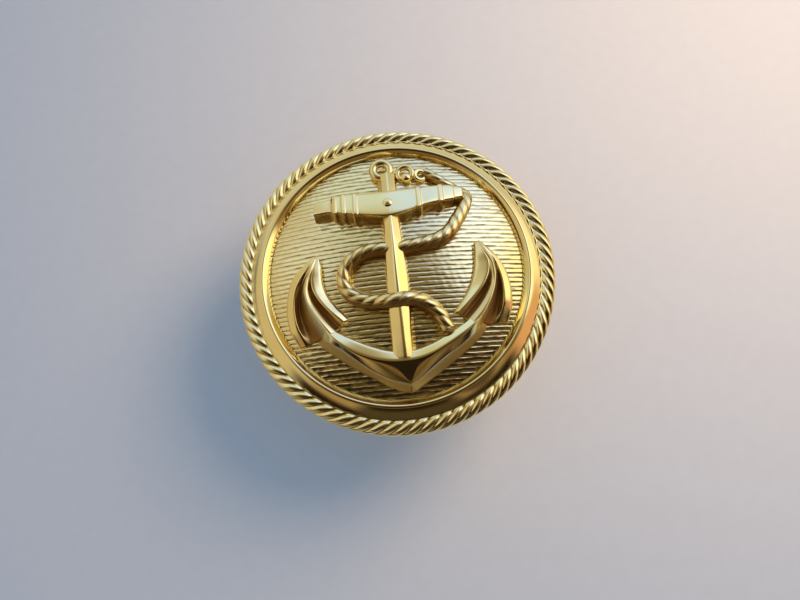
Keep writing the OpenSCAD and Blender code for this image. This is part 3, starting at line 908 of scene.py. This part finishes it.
shot = {
    "distance": 39.86,  # millimetres from the point it looks at
    "tilt": 14.02,  # degrees from straight above
    "around": 8.70,  # degrees round the axis from below the anchor
    "aim": (0.301, -1.921),  # beside the axis, at the rope's height
    "turn": 5.0,  # degrees that the button is turned to the left
    "lens": 24.91,
    "sensor": 36,
    "nearest": 0.001,
}


# camera: it stands close over the button, low of its middle
def makeCamera():
    tilt, around = np.radians(shot["tilt"]), np.radians(shot["around"])
    away = Vector((np.sin(tilt) * np.sin(around), -np.sin(tilt) * np.cos(around), np.cos(tilt)))
    right = Vector((0, 1, 0)).cross(away).normalized()
    up = away.cross(right)
    place = (away * shot["distance"] + Vector((*shot["aim"], 0))) * mm
    turn = Matrix.Rotation(-np.radians(shot["turn"]), 4, "Z")
    axes = Matrix((right, up, away)).transposed().to_4x4()
    data = bpy.data.cameras.new("camera")
    data.sensor_width = shot["sensor"]
    data.lens = shot["lens"]
    data.clip_start = shot["nearest"]
    camera = bpy.data.objects.new("camera", data)
    bpy.context.scene.collection.objects.link(camera)
    camera.matrix_world = Matrix.Translation((0, 0, ropeZ * mm)) @ turn @ Matrix.Translation(place) @ axes
    bpy.context.scene.camera = camera


makeCamera()

floorLook = {
    "size": 3.0,
    "paper": (0.82, 0.81, 0.82, 1),
    "paperDeep": (0.8, 0.79, 0.8, 1),
    "fleck": 900,  # scale of the flecks
    "rough": 0.9,
    "mirrored": (0.7, 0.72, 0.72, 1),  # what the metal sees of the floor on its lit side
    "litSide": (0.5, 0.86, 0),
    "litFrom": (-0.02, 0.03),  # the lit side starts and is full this far along
}


# floor: plain paper with flecks; the metal sees it evenly pale on the lit side
def makeFloor():
    look = floorLook
    half = look["size"] / 2
    corners = [(-half, -half, 0), (half, -half, 0), (half, half, 0), (-half, half, 0)]
    mesh = bpy.data.meshes.new("floor")
    mesh.from_pydata(corners, [], [(0, 1, 2, 3)])
    material, nodes, links, shader = newMaterial("paper")
    flecks = noise(nodes, links, look["fleck"], 6)
    colours = (look["paperDeep"], look["paper"])
    links.new(ramp(nodes, links, flecks, noiseMiddle, colours), shader.inputs["Base Color"])
    shader.inputs["Roughness"].default_value = look["rough"]
    place = nodes.new("ShaderNodeTexCoord")
    along = dotNode(nodes, links, place.outputs["Object"], look["litSide"])
    lit = mapRange(nodes, links, along, look["litFrom"])
    path = nodes.new("ShaderNodeLightPath")
    seen = mathNode(nodes, links, "MULTIPLY", path.outputs["Is Glossy Ray"], lit)
    glow = nodes.new("ShaderNodeEmission")
    glow.inputs["Color"].default_value = look["mirrored"]
    surface = mixShader(nodes, links, seen, shader.outputs["BSDF"], glow.outputs["Emission"])
    links.new(surface, nodes["Material Output"].inputs["Surface"])
    material.cycles.emission_sampling = "NONE"
    mesh.materials.append(material)
    floor = bpy.data.objects.new("floor", mesh)
    bpy.context.scene.collection.objects.link(floor)


makeFloor()

lampLook = {
    "towards": (0.055, 0.036, 0.055),  # direction of the lamp from the button
    "distance": 0.086,
    "size": 0.055,
    "watts": 0.055,
    "colour": (1.0, 0.72, 0.46),
}


# soft box: a round area lamp that faces the button
def makeLamp(name, look):
    data = bpy.data.lights.new(name, "AREA")
    data.shape = "DISK"
    data.size = look["size"]
    data.energy = look["watts"]
    data.color = look["colour"]
    lamp = bpy.data.objects.new(name, data)
    bpy.context.scene.collection.objects.link(lamp)
    towards = Vector(look["towards"])
    lamp.location = towards.normalized() * look["distance"] + Vector((0, 0, ropeZ * mm))
    lamp.rotation_mode = "QUATERNION"
    lamp.rotation_quaternion = towards.to_track_quat("Z", "Y")
    lamp.visible_camera = False
    lamp.visible_glossy = False  # the tent gives the reflections


makeLamp("windowLamp", lampLook)

# the tent's colour, patch over patch: a round one has a direction and the angles where it ends and is
# full, and a boxed one fades along X (both ways), Y and Z, each from where it ends to where it is full
tentLook = {
    "radius": 0.9,
    "cloth": (0.62, 0.66, 0.62, 1),
    "patches": [
        # warm on the left, cool beyond
        {"round": ((-1, 0, 0.3), 60, 25), "colour": (0.66, 0.6, 0.45, 1)},
        {"round": ((-0.6, 0.33, 0.73), 18, 7), "colour": (0.78, 0.85, 0.95, 1)},
        {"box": (("X", 0.52, 0.4), ("Y", 0.52, 0.68), ("Z", 0.3, 0.45), ("Z", 0.85, 0.7)),
         "colour": (0.72, 0.95, 1.3, 1)},
        {"round": ((0.3, 0.72, 0.62), 27, 12), "colour": (0.72, 1.0, 1.85, 1)},
        # bright low on the right, with brown and orange under it
        {"round": ((1, 0.2, 0.08), 42, 12), "colour": (1.3, 1.22, 1.0, 1)},
        {"round": ((0.8, -0.4, 0.45), 24, 12), "colour": (0.3, 0.21, 0.1, 1)},
        {"round": ((0.95, -0.2, 0.12), 24, 10), "colour": (0.8, 0.46, 0.28, 1)},
        # dim overhead, brown on the near side with darker spots
        {"round": ((0, -0.05, 1), 40, 14), "colour": (0.2, 0.15, 0.06, 1)},
        {"box": (("X", 0.85, 0.7), ("Y", -0.3, -0.5), ("Z", 0.72, 0.62)), "colour": (0.4, 0.3, 0.19, 1)},
        {"round": ((0.58, -0.68, 0.46), 13, 7), "colour": (0.1, 0.07, 0.045, 1)},
        {"round": ((0.66, -0.2, 0.72), 14, 7), "colour": (0.16, 0.1, 0.04, 1)},
        # dark high on the near side, with a warm strip at its foot
        {"box": (("X", 0.85, 0.65), ("Y", -0.06, -0.28), ("Z", 0.58, 0.68)),
         "colour": (0.018, 0.014, 0.01, 1)},
        {"box": (("X", 0.65, 0.5), ("Y", -0.4, -0.55), ("Z", 0.48, 0.54), ("Z", 0.7, 0.64)),
         "colour": (0.2, 0.128, 0.055, 1)},
        # brightest high on the right
        {"round": ((0.62, 0.36, 0.7), 26, 11), "colour": (1.3, 1.55, 2.3, 1)},
        {"round": ((0.85, 0.16, 0.48), 21, 10), "colour": (1.5, 1.45, 1.0, 1)},
        # dark in the middle and at the foot of the near side, with a dim strip across
        {"box": (("X", 0.48, 0.3), ("Y", -0.2, -0.4), ("Z", 0.6, 0.5)), "colour": (0.02, 0.013, 0.009, 1)},
        {"box": (("X", 0.95, 0.8), ("Y", -0.3, -0.5), ("Z", 0.35, 0.2)), "colour": (0.02, 0.013, 0.009, 1)},
        {"box": (("X", 0.5, 0.35), ("Y", -0.7, -0.8), ("Z", 0.12, 0.2), ("Z", 0.42, 0.34)),
         "colour": (0.075, 0.06, 0.034, 1)},
    ],
}


# tent: a sphere round the button that only reflections see, coloured by the direction from its middle
def makeTent():
    a = np.linspace(0, 2 * np.pi, 48, endpoint=False)[None, :]
    t = np.linspace(0.02, 0.98, 32)[:, None] * np.pi
    grid = np.stack([np.sin(t) * np.cos(a), np.sin(t) * np.sin(a), np.cos(t) + 0 * a], -1)
    points, faces = closedSkin(tentLook["radius"] * grid)
    mesh = bpy.data.meshes.new("tent")
    mesh.from_pydata(points.tolist(), [], [face for group in faces for face in group.tolist()])
    material, nodes, links, shader = newMaterial("tentCloth")
    nodes.remove(shader)
    place = nodes.new("ShaderNodeTexCoord")
    unit = nodes.new("ShaderNodeVectorMath")
    unit.operation = "NORMALIZE"
    links.new(place.outputs["Object"], unit.inputs[0])
    part = nodes.new("ShaderNodeSeparateXYZ")
    links.new(unit.outputs["Vector"], part.inputs["Vector"])
    along = {"Y": part.outputs["Y"], "Z": part.outputs["Z"]}
    along["X"] = mathNode(nodes, links, "ABSOLUTE", part.outputs["X"])

    # by the cosine of the angle to a direction
    def roundMask(direction, ends, full):
        cosine = dotNode(nodes, links, unit.outputs["Vector"], Vector(direction).normalized())
        return mapRange(nodes, links, cosine, np.cos(np.radians([ends, full])), kind="SMOOTHSTEP")

    # all of its fades multiplied
    def boxMask(fades):
        mask = 1
        for axis, ends, full in fades:
            fade = mapRange(nodes, links, along[axis], (ends, full), kind="SMOOTHSTEP")
            mask = mathNode(nodes, links, "MULTIPLY", mask, fade)
        return mask

    colour = tentLook["cloth"]
    for patch in tentLook["patches"]:
        mask = roundMask(*patch["round"]) if "round" in patch else boxMask(patch["box"])
        colour = mixColour(nodes, links, mask, colour, patch["colour"])
    glow = nodes.new("ShaderNodeEmission")
    links.new(colour, glow.inputs["Color"])
    links.new(glow.outputs["Emission"], nodes["Material Output"].inputs["Surface"])
    material.cycles.emission_sampling = "NONE"
    mesh.materials.append(material)
    tent = bpy.data.objects.new("tent", mesh)
    bpy.context.scene.collection.objects.link(tent)
    tent.visible_camera = False
    tent.visible_diffuse = False
    tent.visible_shadow = False
    tent.visible_transmission = False


makeTent()

worldLook = {
    "fill": (0.54, 0.74, 1.0, 1),
    "fillStrength": 0.46,
    "beyond": (0.8, 0.81, 0.83, 1),  # what shows past the floor
}


# world: a cool fill light, and a pale backdrop for rays that see past the floor
def makeWorld():
    world = bpy.data.worlds.new("studio")
    bpy.context.scene.world = world
    world.use_nodes = True
    nodes, links = world.node_tree.nodes, world.node_tree.links
    fill = nodes["Background"]
    fill.inputs["Color"].default_value = worldLook["fill"]
    fill.inputs["Strength"].default_value = worldLook["fillStrength"]
    beyond = nodes.new("ShaderNodeBackground")
    beyond.inputs["Color"].default_value = worldLook["beyond"]
    path = nodes.new("ShaderNodeLightPath")
    seen = path.outputs["Is Camera Ray"]
    for ray in ("Is Glossy Ray", "Is Transmission Ray"):
        seen = mathNode(nodes, links, "MAXIMUM", seen, path.outputs[ray])
    sky = mixShader(nodes, links, seen, fill.outputs["Background"], beyond.outputs["Background"])
    links.new(sky, nodes["World Output"].inputs["Surface"])


makeWorld()
bpy.context.scene.view_settings.view_transform = "Standard"
print("stage set")
